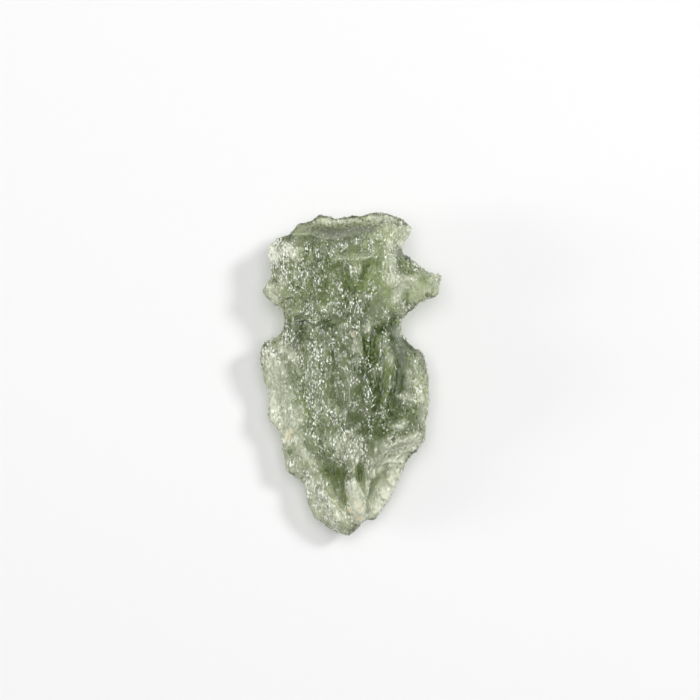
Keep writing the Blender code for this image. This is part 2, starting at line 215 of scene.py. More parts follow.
# Narrow furrows, as (half width, depth, points), in millimetres.
FURROWS = [
    (0.13, 0.22, [(-0.7, -8.2), (-0.72, -9.4), (-0.6, -10.3), (-0.5, -11.1)]),
    (0.30, 0.25, [(0.7, -7.9), (0.8, -8.5), (0.9, -9.3)]),
    (0.30, 0.06, [(2.5, -8.6), (1.9, -9.6), (1.5, -10.6), (1.35, -11.6)]),
    (0.16, 0.16, [(-0.3, 8.1), (-0.2, 7.3), (-0.3, 6.4), (-0.3, 5.3)]),
    (0.25, 0.18, [(1.5, 2.4), (1.4, 1.2), (1.3, 0.2), (1.7, -0.6)]),
    (0.16, 0.16, [(2.6, -1.9), (2.3, -2.6), (2.0, -3.2)]),
    (0.16, 0.14, [(3.2, -2.5), (3.4, -3.2), (4.0, -3.7)]),
    (0.20, 0.14, [(-1.7, 2.0), (-1.5, 1.0), (-1.7, 0.0), (-1.6, -1.0)]),
    (0.16, 0.12, [(-2.7, 1.2), (-2.6, 0.3), (-2.4, -0.4)]),
    (0.16, 0.12, [(-2.6, -4.3), (-2.6, -5.8), (-2.5, -6.8)]),
    (0.22, 0.14, [(-3.6, 9.4), (-3.3, 8.4), (-3.4, 7.3)]),
    (0.35, 0.18, [(1.6, 9.3), (1.1, 8.3), (0.7, 7.3)]),
    (0.35, 0.16, [(4.4, 10.6), (4.6, 9.6), (5.6, 9.0)]),
]
# How quickly the rise dies away to the left, as a power, and how wide the drop on the right is.
EDGE_FALL = 1.5
EDGE_DROP = 0.09
# An edge starts at this share of its height and reaches the whole of it at this rate along the line.
EDGE_START = 0.2
EDGE_RATE = 8
# Chips out of the rim, in millimetres, where the faces are steeper than this share. A second, finer
# set has this share of their depth and is this many times as dense.
CHIP_STEEP = 0.35
CHIP_LENGTH = 0.45
CHIP_DEPTH = 0.30
FINE_CHIP_SHARE = 0.5
FINE_CHIP_DENSITY = 2.3

# What the top shows, as strokes of (half width, strength, points along it), in millimetres. A stroke's
# strength dies away from its middle by this power of the distance.
STROKE_FALL = 3
# Smooth parts, where the frost is faint.
SMOOTH = [
    (0.75, 1.0, [(-4.6, 12.7), (-2.6, 12.7), (-1.0, 12.5), (0.2, 12.9), (3.2, 12.9), (4.6, 12.4)]),
    (0.5, 1.0, [(3.6, 7.8), (4.2, 7.4), (5.2, 7.6)]),
    (0.5, 0.8, [(0.4, 7.7), (1.0, 7.6)]),
    (0.4, 0.8, [(-1.6, 5.4), (-1.3, 4.7)]),
    (0.7, 1.0, [(2.6, 0.0), (3.6, 0.1), (4.2, -0.4)]),
    (0.35, 0.9, [(0.7, 3.2), (0.7, 1.9)]),
    (0.3, 0.9, [(-0.4, 0.8), (-0.2, -2.2)]),
    (0.7, 0.8, [(-6.8, 7.6), (-6.6, 6.8)]),
    (0.5, 0.8, [(-1.8, 9.2), (-0.6, 9.2)]),
    (0.5, 0.8, [(1.4, 9.4), (2.2, 9.2)]),
    (0.8, 0.8, [(-1.8, -8.5), (-2.0, -9.3)]),
    (0.5, 0.9, [(0.4, -3.7), (1.0, -4.2)]),
    (0.5, 0.7, [(-1.4, 9.8), (0.0, 9.9), (1.6, 9.9), (2.8, 10.7)]),
    (0.9, 0.8, [(2.5, 6.2), (2.9, 5.2)]),
    (0.7, 0.7, [(4.2, 7.4), (5.6, 7.4), (7.2, 7.2)]),
    (0.7, 0.7, [(-6.8, 7.0), (-5.6, 5.6), (-4.9, 5.0)]),
    (1.2, 1.0, [(3.4, -8.4), (3.2, -9.4), (2.6, -10.8), (2.0, -11.8)]),
    (0.6, 0.7, [(4.1, 2.8), (4.0, 1.6), (3.9, 0.6)]),
    (0.6, 1.0, [(0.3, -10.0), (0.8, -11.6)]),
    (0.6, 0.8, [(6.3, 1.6), (6.4, -0.6), (6.2, -3.2)]),
    (1.3, 0.55, [(-6.4, 1.0), (-6.2, -2.0), (-5.2, -5.4), (-4.6, -7.4)]),
    (0.5, 0.6, [(-1.2, -1.6), (-0.9, -2.4)]),
]
# Calm parts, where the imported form's channels melt away and the glass is left smooth.
CALM = [
    (1.0, 0.9, [(4.1, -8.8), (3.3, -9.8), (2.6, -11.2)]),
    (0.7, 1.0, [(2.9, 1.6), (3.0, -0.2), (3.0, -1.4)]),
    (0.9, 0.6, [(4.0, 3.2), (4.2, 1.6), (4.3, 0.0), (4.4, -1.6)]),
    (0.6, 0.8, [(5.9, 1.4), (6.1, -0.4)]),
    (0.5, 0.8, [(3.2, -6.7), (4.4, -6.4), (6.0, -5.8)]),
]
# Deep green: darker glass where it is thick, and painted shade under steps and on slopes turned away from
# the lights.
DEEP_AND_SHADE = [
    (0.50, 0.6, [(-5.6, 11.7), (-5.1, 11.4), (-4.6, 11.4)]),
    (0.20, 1.0, [(-6.6, 10.5), (-6.5, 10.3)]),
    (0.22, 1.0, [(-6.1, 9.8), (-5.9, 9.6)]),
    (0.20, 0.8, [(-5.9, 11.1), (-5.8, 10.8)]),
    (0.50, 0.6, [(-4.2, 11.6), (-3.4, 11.7), (-3.0, 11.2), (-2.4, 10.9)]),
    (0.38, 0.8, [(-2.2, 10.9), (-2.0, 9.9), (-1.9, 9.6)]),
    (0.33, 0.5, [(-4.0, 10.4), (-3.8, 9.9)]),
    (0.38, 0.6, [(-5.3, 10.0), (-5.1, 9.2)]),
    (0.35, 0.5, [(-3.6, 9.4), (-3.3, 8.4), (-3.5, 7.4)]),
    (0.70, 0.45, [(-2.3, 9.3), (-1.0, 9.2), (-0.4, 8.5)]),
    (0.30, 0.8, [(-0.4, 7.9), (-0.2, 7.4), (-0.3, 6.8), (-0.4, 6.0), (-0.2, 5.2)]),
    (0.38, 0.65, [(2.2, 9.5), (1.4, 9.1), (1.1, 8.2), (0.8, 7.4), (0.3, 7.1)]),
    (0.30, 0.4, [(1.3, 10.6), (1.6, 10.3)]),
    (0.35, 0.8, [(4.3, 10.8), (4.2, 10.3), (4.4, 9.4)]),
    (0.30, 0.8, [(4.9, 10.1), (5.1, 9.8)]),
    (0.32, 0.7, [(4.3, 9.0), (5.0, 8.8), (5.4, 9.1), (5.9, 8.9)]),
    (0.40, 0.6, [(6.3, 8.6), (6.2, 8.0)]),
    (0.30, 0.4, [(-0.9, 10.4), (0.5, 10.5)]),
    (0.30, 0.5, [(-1.6, 11.6), (-1.4, 11.1)]),
    (0.60, 0.35, [(-4.6, 12.4), (-3.2, 12.5), (-1.8, 12.5), (0.8, 12.6)]),
    (0.30, 0.4, [(0.2, 13.6), (0.8, 13.5)]),
    (0.30, 0.5, [(-7.1, 8.0), (-6.8, 7.8)]),
    (0.40, 0.4, [(-2.2, 7.9), (-2.4, 6.4)]),
    (0.38, 0.8, [(-2.4, 5.2), (-2.0, 4.5), (-2.2, 4.1), (-1.4, 4.1)]),
    (0.45, 0.6, [(-4.3, 4.7), (-4.4, 3.7), (-3.8, 3.2)]),
    (0.22, 0.5, [(-5.2, 4.5), (-5.2, 4.2)]),
    (0.32, 0.5, [(1.4, 6.5), (1.3, 5.6), (1.1, 4.6)]),
    (0.42, 1.0, [(2.2, 3.8), (2.6, 3.9), (2.9, 4.1)]),
    (0.30, 0.7, [(3.7, 4.8), (3.6, 4.4)]),
    (0.22, 0.5, [(-1.6, 3.5), (-1.4, 3.3)]),
    (0.33, 0.5, [(-0.9, 2.7), (-0.4, 2.0), (0.1, 1.5)]),
    (0.55, 1.1, [(1.4, 3.0), (1.5, 2.2), (1.7, 1.5)]),
    (0.38, 0.7, [(3.6, 3.1), (4.3, 2.9), (5.2, 2.5), (5.6, 2.1)]),
    (0.60, 0.8, [(3.4, 0.6), (4.2, 0.8), (4.1, 0.1)]),
    (0.50, 0.9, [(0.6, 0.4), (1.3, 0.3), (1.5, -0.2), (1.7, -0.6)]),
    (0.32, 0.8, [(-1.7, 1.9), (-1.3, 1.2), (-1.3, 0.6), (-1.8, 0.3), (-1.9, 1.2)]),
    (0.22, 0.6, [(-2.7, 1.0), (-2.5, 0.3)]),
    (0.30, 0.5, [(2.8, 1.6), (2.8, 1.0)]),
    (0.85, 0.9, [(2.6, -0.5), (3.5, -0.4), (4.2, -0.3)]),
    (0.50, 0.9, [(2.2, -1.3), (3.2, -1.4), (4.4, -1.1)]),
    (0.60, 0.8, [(4.6, 2.4), (4.3, 1.2)]),
    (0.45, 0.8, [(2.0, 3.4), (2.2, 2.2), (2.1, 1.2)]),
    (0.35, 0.8, [(2.6, -1.9), (2.3, -2.6), (2.0, -3.1)]),
    (0.35, 0.7, [(3.2, -2.5), (3.4, -3.3), (4.0, -3.6)]),
    (0.60, 0.5, [(3.8, -2.3), (4.8, -2.9), (5.4, -3.3), (5.2, -4.2), (6.0, -4.3)]),
    (0.45, 0.6, [(0.1, -3.6), (0.4, -3.8), (0.9, -4.5), (1.2, -5.0)]),
    (0.60, 0.65, [(2.3, -4.0), (2.7, -4.1), (2.9, -5.0), (2.4, -5.1)]),
    (0.30, 0.6, [(4.2, -5.0), (4.7, -5.2)]),
    (0.28, 0.5, [(1.3, -3.9), (1.4, -4.6)]),
    (0.40, 0.5, [(1.6, -6.1), (1.3, -6.6)]),
    (0.25, 0.6, [(2.5, -6.2), (2.5, -6.6)]),
    (0.38, 0.6, [(3.5, -6.9), (4.6, -6.7)]),
    (0.65, 0.6, [(-1.5, -0.6), (-1.3, -1.6), (-0.9, -2.3)]),
    (0.28, 0.4, [(-2.6, -4.5), (-2.6, -5.6)]),
    (0.35, 0.6, [(-2.0, -4.6), (-1.7, -4.7)]),
    (0.60, 0.4, [(-1.8, -6.6), (-2.4, -7.0)]),
    (0.28, 0.5, [(0.6, -1.2), (1.3, -2.2)]),
    (0.30, 1.1, [(0.7, -8.0), (0.8, -8.5), (0.9, -9.1)]),
    (0.55, 0.8, [(-2.0, -8.4), (-1.2, -8.5), (-0.8, -8.7)]),
    (0.35, 0.6, [(-1.3, -9.1), (-1.1, -9.6)]),
    (0.40, 0.4, [(-2.4, -9.9), (-2.4, -9.6)]),
    (0.20, 0.8, [(-0.7, -9.2), (-0.6, -10.2), (-0.5, -11.0)]),
    (0.38, 0.6, [(2.4, -8.9), (1.9, -9.6), (1.7, -10.4)]),
    (0.32, 0.5, [(3.1, -7.9), (4.1, -7.7)]),
    (0.25, 0.5, [(4.2, -8.8), (4.0, -9.2)]),
    (0.30, 0.7, [(-0.9, -12.8), (-0.8, -13.2)]),
    (0.30, 0.6, [(0.4, -13.0), (0.1, -13.4)]),
    (0.25, 0.5, [(-2.0, -12.9), (-1.7, -13.1)]),
    (0.22, 0.6, [(2.0, -12.5), (2.4, -12.2)]),
]
# Painted light: pale, where light comes through thin, clear glass from the ground.
PALE_PAINTED_LIGHT = [
    (0.75, 1.0, [(4.0, -8.6), (3.6, -9.4), (3.1, -10.4), (2.4, -11.6)]),
    (0.60, 0.5, [(2.8, -9.4), (2.2, -10.6), (1.9, -11.6)]),
    (0.40, 0.7, [(1.7, -12.2), (2.3, -11.9)]),
    (0.80, 1.0, [(0.3, -9.8), (0.6, -11.2), (0.8, -12.2)]),
    (0.18, 0.6, [(2.25, -6.1), (2.2, -6.8)]),
    (0.70, 0.28, [(3.0, 13.3), (4.2, 12.9), (4.4, 12.2)]),
    (0.40, 0.9, [(5.0, 12.4), (4.7, 11.7), (4.4, 11.2)]),
    (0.40, 0.55, [(3.3, 11.3), (3.5, 10.3), (3.6, 9.2), (3.5, 8.6)]),
    (0.65, 0.7, [(3.6, 8.1), (4.4, 7.9), (5.2, 7.9)]),
    (0.50, 0.7, [(4.2, 7.2), (3.8, 6.4)]),
    (0.45, 0.35, [(6.6, 7.4), (7.4, 8.2)]),
    (0.60, 0.6, [(-6.9, 7.4), (-6.5, 6.7)]),
    (0.90, 0.8, [(-6.9, 1.2), (-6.6, 0.5)]),
    (0.70, 0.5, [(-5.8, 2.2), (-5.3, 1.6)]),
    (0.90, 0.15, [(2.8, 6.2), (2.4, 5.2)]),
    (0.70, 1.0, [(-6.9, 11.1), (-6.6, 10.2)]),
    (0.60, 1.0, [(-5.5, 10.9), (-5.0, 10.5)]),
    (1.40, 0.34, [(-0.5, -6.0), (0.6, -6.8)]),
    (1.80, 0.14, [(-1.6, 2.5), (-1.4, -4.0)]),
    (0.35, 0.9, [(3.3, -6.7), (4.5, -6.45), (5.8, -6.0)]),
    (0.30, 0.8, [(2.4, -8.2), (3.0, -7.8), (4.9, -7.8)]),
    (0.60, 0.1, [(-4.6, 12.4), (-3.2, 12.6), (-0.8, 12.6)]),
    (0.35, 0.4, [(1.6, 4.2), (1.5, 3.4)]),
    (0.38, 0.5, [(0.4, 2.2), (0.6, 2.9)]),
    (0.35, 0.6, [(3.3, 1.5), (3.4, 0.9)]),
    (1.40, 0.6, [(-6.6, -0.2), (-6.4, -2.2), (-5.9, -3.8), (-5.4, -5.0)]),
    (0.35, 0.5, [(5.0, 0.2), (5.0, -0.6)]),
    (0.38, 0.6, [(5.7, -0.6), (5.8, -1.0)]),
    (0.40, 0.3, [(6.5, 1.0), (6.5, -0.5)]),
    (0.38, 0.6, [(4.5, -1.8), (4.8, -1.8)]),
    (0.35, 0.6, [(6.1, -1.7), (6.1, -2.1)]),
    (0.38, 0.6, [(4.6, -4.1), (4.2, -4.4)]),
    (0.28, 0.5, [(-4.8, -4.2), (-4.4, -3.9)]),
    (0.60, 0.5, [(-4.6, -6.2), (-4.0, -7.0), (-3.4, -7.5)]),
    (0.60, 0.9, [(4.2, -6.0), (5.0, -5.7), (5.5, -5.6)]),
    (0.80, 0.5, [(3.0, -6.2), (2.6, -7.2), (2.2, -8.2)]),
    (0.70, 0.4, [(-3.4, -8.2), (-4.4, -8.2)]),
    (1.20, 0.65, [(-3.2, -9.8), (-2.4, -11.4), (-1.0, -12.6)]),
    (0.60, 0.5, [(-5.0, -7.4), (-4.4, -8.4)]),
    (0.33, 0.6, [(-3.7, -10.6), (-3.4, -10.8)]),
    (0.40, 0.5, [(-2.9, -12.4), (-2.4, -12.2)]),
    (0.50, 0.6, [(-2.4, -11.4), (-1.7, -11.6), (-1.4, -12.0)]),
]
# Frost with painted glints: small bright facets, painted white as if in the light, thick over some patches.
FROST_AND_GLINTS = [
    (0.55, 1.0, [(-6.9, 10.8), (-6.0, 10.4), (-5.1, 10.8)]),
    (0.50, 0.8, [(-6.9, 11.3), (-6.2, 11.6)]),
    (0.50, 0.7, [(-6.7, 10.0), (-6.4, 8.8)]),
    (0.35, 0.7, [(-3.7, 10.9), (-3.6, 10.6)]),
    (0.42, 0.7, [(-2.8, 10.4), (-2.6, 9.9)]),
    (0.22, 0.6, [(-1.8, 10.3), (-1.6, 10.2)]),
    (0.35, 0.4, [(-0.8, 11.0), (-0.3, 10.9)]),
    (0.30, 0.5, [(0.2, 9.2), (0.3, 8.6), (0.6, 8.1)]),
    (0.35, 0.4, [(1.7, 11.1), (1.7, 10.8)]),
    (0.32, 0.7, [(-1.2, 8.2), (-0.9, 7.6), (-0.7, 7.0)]),
    (0.28, 0.6, [(-2.9, 8.2), (-2.6, 7.6)]),
    (0.28, 0.6, [(1.7, 8.0), (1.9, 7.3), (1.8, 6.6)]),
    (0.35, 0.5, [(4.5, 9.7), (4.5, 9.4)]),
    (0.32, 0.6, [(5.1, 9.5), (5.6, 9.3)]),
    (0.55, 0.5, [(-4.4, 9.6), (-4.2, 8.6)]),
    (0.55, 0.5, [(-5.6, 8.9), (-5.4, 8.0), (-4.6, 7.4)]),
    (0.35, 0.6, [(-3.7, 5.9), (-3.6, 5.3)]),
    (0.30, 0.6, [(-2.8, 5.0), (-2.5, 5.2)]),
    (0.30, 0.6, [(-1.7, 6.8), (-1.5, 6.2)]),
    (0.30, 0.6, [(-1.3, 5.4), (-1.6, 4.8)]),
    (0.33, 0.5, [(-0.7, 6.0), (-0.7, 5.6)]),
    (0.40, 0.7, [(0.3, 6.1), (0.8, 6.4), (0.6, 5.8)]),
    (0.42, 0.5, [(-1.9, 2.9), (-1.3, 2.5)]),
    (0.33, 0.5, [(-2.8, 2.8), (-2.6, 1.8)]),
    (0.28, 0.5, [(-0.5, 3.2), (-0.4, 2.8)]),
    (0.25, 0.9, [(0.9, 1.5), (0.9, 1.1)]),
    (0.25, 1.0, [(1.6, 0.9), (1.7, 0.6)]),
    (0.25, 0.7, [(2.5, 0.8), (2.5, 0.5)]),
    (0.28, 0.5, [(2.4, 2.2), (2.6, 2.7)]),
    (0.50, 0.5, [(-5.4, 3.3), (-5.0, 3.3)]),
    (0.50, 0.7, [(-7.3, 2.3), (-6.8, 1.9)]),
    (0.38, 0.6, [(-4.7, 1.4), (-4.3, 1.2)]),
    (0.35, 0.5, [(-2.3, 0.8), (-2.2, 0.2)]),
    (0.42, 0.5, [(0.7, 4.3), (0.9, 4.0)]),
    (0.45, 0.4, [(4.4, 1.9), (4.9, 1.8)]),
    (0.28, 1.0, [(4.5, 6.3), (4.5, 6.0)]),
    (0.32, 0.9, [(1.4, -1.3), (1.6, -2.0), (1.8, -2.4)]),
    (0.28, 1.0, [(2.9, -2.3), (2.8, -3.0), (2.7, -3.4)]),
    (0.38, 0.6, [(0.4, -0.5), (0.0, -0.9)]),
    (0.32, 0.6, [(-0.9, -0.6), (-0.9, -1.0)]),
    (0.28, 0.4, [(0.1, -2.7), (0.3, -2.0)]),
    (0.38, 0.7, [(-1.6, -3.2), (-1.4, -3.8)]),
    (0.33, 0.5, [(-2.5, -1.6), (-2.5, -2.0)]),
    (0.42, 0.5, [(-3.5, -1.8), (-3.5, -2.5)]),
    (0.42, 0.6, [(-5.5, -0.8), (-5.5, -1.4)]),
    (0.38, 0.5, [(3.7, -1.3), (4.1, -1.5)]),
    (0.28, 0.4, [(1.7, -3.8), (1.7, -4.7)]),
    (0.50, 0.3, [(-0.4, -4.9), (-0.1, -5.4), (0.6, -5.5)]),
    (0.33, 0.5, [(-2.8, -5.6), (-2.7, -6.5)]),
    (0.28, 0.4, [(-1.4, -5.3), (-1.4, -5.8)]),
    (0.50, 0.5, [(3.2, -5.7), (4.2, -5.5)]),
    (0.38, 0.6, [(-2.4, -10.5), (-2.2, -11.0)]),
    (0.30, 0.5, [(-3.1, -10.2), (-2.8, -9.7)]),
    (0.28, 0.6, [(-0.3, -9.3), (-0.2, -9.9)]),
    (0.25, 0.5, [(-1.0, -7.3), (-1.0, -7.6)]),
    (0.28, 0.5, [(0.4, -7.5), (0.3, -8.0)]),
]
# Tan clay, dried into a few pits.
STAIN = [
    (0.16, 0.8, [(-0.1, -11.5), (0.2, -11.9)]),
    (0.20, 0.9, [(0.65, -12.35), (0.95, -12.5)]),
    (0.30, 0.4, [(0.7, -11.0), (0.9, -11.6)]),
    (0.14, 0.6, [(-1.5, -10.8), (-1.35, -10.9)]),
    (0.14, 0.5, [(-1.3, -12.1), (-1.2, -12.3)]),
    (0.22, 0.8, [(-5.5, -5.6), (-5.25, -4.9)]),
    (0.13, 0.8, [(0.05, 3.7), (0.3, 3.3)]),
    (0.14, 0.5, [(0.0, -5.0), (0.0, -5.3)]),
    (0.14, 0.5, [(-3.3, -7.4), (-3.1, -7.7)]),
]

LOOKS = (("smooth", SMOOTH), ("deep", DEEP_AND_SHADE), ("pale", PALE_PAINTED_LIGHT), ("frost", FROST_AND_GLINTS), ("stain", STAIN))
# How much frost the smooth parts and the deep, shaded parts lose.
SMOOTH_LOSS = 0.6
DEEP_AND_SHADE_LOSS = 0.35
# Painted light on the rim: how pale it is painted where the faces are steeper than this share.
RIM_PAINTED_LIGHT = 0.65
RIM_STEEP = 0.22

# Etching, cell by cell: how wide and long its pits are, and how deep, for three sizes of pit, in
# millimetres.
PIT_SIZES = [
    ("Furrow", 0.95, 2.3, 0.10),
    ("Pit", 0.36, 0.80, 0.055),
    ("Prick", 0.21, 0.32, 0.05),
]
# A pit's wall rises by this power of the distance from its middle, and this share of the pit lies
# under the skin.
PIT_POWER = 1.6
PIT_SHARE = 0.55
# The cells are bent by up to half of this, in waves of this length, in millimetres.
PIT_BEND = 1.1
BEND_LENGTH = 2.0
PIT_SEED = 3.0
# The frosted film lies in ribbons along the stone, and the glass between them is etched less.
FILM = {"Film width": 0.6, "Film length": 2.3, "Frost help": 0.28, "Film start": 0.37, "Film full": 0.74,
        "Least film": 0.08, "Least etch": 0.3}


def stroke_field(places, strokes):
    """The strength of the strokes at each place, the strongest winning."""
    field = np.zeros(len(places))
    for half_width, strength, line in strokes:
        distance, _, _ = near_line(places, line)
        field = np.maximum(field, strength * np.exp(-((distance / half_width) ** STROKE_FALL)))
    return field


def edge_fields(places):
    """How high the broken edges lift each place, in millimetres, and how much painted light they put on it.
    """
    lift, pale = np.zeros(len(places)), np.zeros(len(places))
    for reach, rise, paleness, line in EDGES:
        distance, side, along = near_line(places, line)
        left = np.exp(-((distance / reach) ** EDGE_FALL))
        right = smooth_step(1 - distance / EDGE_DROP)
        ends = smooth_step(np.minimum(along, 1 - along) * EDGE_RATE + EDGE_START)
        share = np.where(side > 0, left, right) * ends
        lift = np.maximum(lift, rise * share)
        pale = np.maximum(pale, paleness * share)
    return lift, pale


def steeper(normals, least):
    """How steep each face stands, 0 up to the least share and 1 for upright."""
    steep = 1 - np.abs(normals[:, 2])
    return smooth_step((steep - least) / (1 - least))


def chipped(points, normals):
    """The points with small chips broken out of the rim, where the faces are steep."""
    steep = steeper(normals, CHIP_STEEP)
    depth = np.zeros(len(points))
    for row in np.nonzero(steep)[0]:
        place = Vector(points[row] / CHIP_LENGTH)
        fine = noise.noise(place * FINE_CHIP_DENSITY)
        depth[row] = max(0.0, noise.noise(place)) + FINE_CHIP_SHARE * fine
    return points - normals * (CHIP_DEPTH * steep * depth)[:, None]


def store(mesh, name, values):
    """Keep a number for each vertex under this name."""
    layer = mesh.attributes.new(name, "FLOAT", "POINT")
    layer.data.foreach_set("value", values.astype(np.float32))


def packed_skin():
    """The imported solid, merged and made again from even voxels, in millimetres."""
    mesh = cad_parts["moldavite"].data.copy()
    mesh.materials.clear()
    work = bmesh.new()
    work.from_mesh(mesh)
    bmesh.ops.remove_doubles(work, verts=work.verts, dist=MERGE_DISTANCE)
    work.to_mesh(mesh)
    work.free()
    mesh.transform(Matrix.Scale(1 / MM, 4))
    obj = new_object("skin", mesh)
    remesh = obj.modifiers.new("Remesh", "REMESH")
    remesh.mode = "VOXEL"
    remesh.voxel_size = SKIN_VOXEL
    remesh.use_smooth_shade = True
    melt = obj.modifiers.new("Melt", "SMOOTH")
    melt.factor = SMOOTH_SHARE
    melt.iterations = MELT_ROUNDS
    return finished_mesh(obj)


def calmed(mesh, field):
    """The mesh relaxed where the field is strong, so that its small channels melt away there."""
    obj = new_object("calmed", mesh)
    group = obj.vertex_groups.new(name="calm")
    levels = np.rint(np.clip(field, 0, 1) * CALM_LEVELS).astype(int)
    for level in range(1, CALM_LEVELS + 1):
        group.add(np.nonzero(levels == level)[0].tolist(), level / CALM_LEVELS, "REPLACE")
    relax = obj.modifiers.new("Relax", "SMOOTH")
    relax.vertex_group = group.name
    relax.factor = SMOOTH_SHARE
    relax.iterations = CALM_ROUNDS
    return finished_mesh(obj)


def etch_tree(glass):
    """Geometry nodes that eat pits of three sizes into a skin, drawn out along the stone."""
    tree = bpy.data.node_groups.new("Etching", "GeometryNodeTree")
    face = tree.interface
    face.new_socket("Geometry", in_out="INPUT", socket_type="NodeSocketGeometry")
    for name, *_ in PIT_SIZES:
        for size in ("width", "length", "depth"):
            face.new_socket(f"{name} {size}", in_out="INPUT", socket_type="NodeSocketFloat")
    for name in (*FILM, "Seed"):
        face.new_socket(name, in_out="INPUT", socket_type="NodeSocketFloat")
    face.new_socket("Geometry", in_out="OUTPUT", socket_type="NodeSocketGeometry")
    given = add_node(tree, "NodeGroupInput").outputs
    place = add_node(tree, "GeometryNodeInputPosition").outputs["Position"]

    # The cells of the pits are bent, so that their rows wander.
    warp = add_node(tree, "ShaderNodeTexNoise", {"Vector": place, "Scale": 1 / BEND_LENGTH, "Detail": 2.0})
    centred = add_node(tree, "ShaderNodeVectorMath", {0: warp.outputs["Color"], 1: (0.5, 0.5, 0.5)},
                       operation="SUBTRACT")
    bent = add_node(tree, "ShaderNodeVectorMath", {0: centred.outputs[0], 1: (PIT_BEND,) * 3, 2: place},
                    operation="MULTIPLY_ADD")

    # Each size of pit is a bowl in its own cell, and the three are added up.
    total = None
    for name, *_ in PIT_SIZES:
        size = add_node(tree, "ShaderNodeCombineXYZ", {
            "X": given[f"{name} width"], "Y": given[f"{name} length"], "Z": given[f"{name} width"]})
        cells = add_node(tree, "ShaderNodeVectorMath", {0: bent, 1: size}, operation="DIVIDE")
        shift = add_node(tree, "ShaderNodeVectorMath", {0: cells, 1: given["Seed"]}, operation="ADD")
        bowls = add_node(tree, "ShaderNodeTexVoronoi", {"Vector": shift, "Scale": 1.0, "Randomness": 1.0},
                         feature="F1")
        rise = add_node(tree, "ShaderNodeMath", {0: bowls.outputs["Distance"], 1: PIT_POWER},
                        operation="POWER")
        wall = add_node(tree, "ShaderNodeMath", {0: rise, 1: 1.0}, operation="MINIMUM")
        down = add_node(tree, "ShaderNodeMath", {0: wall, 1: PIT_SHARE}, operation="SUBTRACT")
        deep = add_node(tree, "ShaderNodeMath", {0: down, 1: given[f"{name} depth"]}, operation="MULTIPLY")
        total = add_node(tree, "ShaderNodeMath", {0: total, 1: deep}, operation="ADD") if total else deep

    # The film lies in clouds drawn out along the stone, and thickest where the frost strokes are.
    patch = add_node(tree, "ShaderNodeCombineXYZ", {
        "X": given["Film width"], "Y": given["Film length"], "Z": given["Film width"]})
    patched = add_node(tree, "ShaderNodeVectorMath", {0: place, 1: patch}, operation="DIVIDE")
    cloud = add_node(tree, "ShaderNodeTexNoise", {"Vector": patched, "Scale": 1.0, "Detail": 4.0,
                                                  "Roughness": 0.65})
    frost = add_node(tree, "GeometryNodeInputNamedAttribute", {"Name": "frost"}, data_type="FLOAT")
    cloud = add_node(tree, "ShaderNodeMath", {0: frost, 1: given["Frost help"], 2: cloud.outputs["Fac"]},
                     operation="MULTIPLY_ADD")
    film = add_node(tree, "ShaderNodeMapRange", {
        "Value": cloud, "From Min": given["Film start"], "From Max": given["Film full"],
        "To Min": given["Least film"]}, interpolation_type="SMOOTHSTEP")

    # The skin moves along its normal, most under the film.
    rough = add_node(tree, "ShaderNodeMapRange", {"Value": film, "To Min": given["Least etch"]})
    amount = add_node(tree, "ShaderNodeMath", {0: total, 1: rough}, operation="MULTIPLY")
    normal = add_node(tree, "GeometryNodeInputNormal")
    offset = add_node(tree, "ShaderNodeVectorMath", {0: normal, "Scale": amount}, operation="SCALE")
    moved = add_node(tree, "GeometryNodeSetPosition", {"Geometry": given["Geometry"], "Offset": offset})
    kept = add_node(tree, "GeometryNodeStoreNamedAttribute", {
        "Geometry": moved, "Name": "film", "Value": film}, data_type="FLOAT", domain="POINT")
    real = add_node(tree, "GeometryNodeRealizeInstances", {"Geometry": kept})
    coated = add_node(tree, "GeometryNodeSetMaterial", {"Geometry": real, "Material": glass})
    add_node(tree, "NodeGroupOutput", {"Geometry": coated})
    return tree


def etched(mesh, glass):
    """The mesh after the etching tree."""
    tree = etch_tree(glass)
    obj = new_object("etched", mesh)
    etch = obj.modifiers.new("Etching", "NODES")
    etch.node_group = tree
    values = {"Seed": PIT_SEED, **FILM}
    for name, width, length, depth in PIT_SIZES:
        values.update({f"{name} width": width, f"{name} length": length, f"{name} depth": depth})
    for item in tree.interface.items_tree:
        if item.in_out == "INPUT" and item.name in values:
            etch[item.identifier] = values[item.name]
    return finished_mesh(obj)


def lighter_belly(mesh):
    """The mesh with the side that lies down made of fewer triangles."""
    mesh.calc_loop_triangles()
    obj = new_object("lighter", mesh)
    group = obj.vertex_groups.new(name="belly")
    facing = read_normals(mesh)[:, 2]
    group.add(np.nonzero(facing < BELLY_FACING)[0].tolist(), 1.0, "REPLACE")
    decimate = obj.modifiers.new("Decimate", "DECIMATE")
    decimate.vertex_group = group.name
    decimate.ratio = min(1.0, MOST_TRIANGLES / len(mesh.loop_triangles))
    return finished_mesh(obj)


def fit_box(points, low, high):
    """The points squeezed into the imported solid's box."""
    now_low, now_high = points.min(0), points.max(0)
    return low + (points - now_low) / (now_high - now_low) * (high - low)


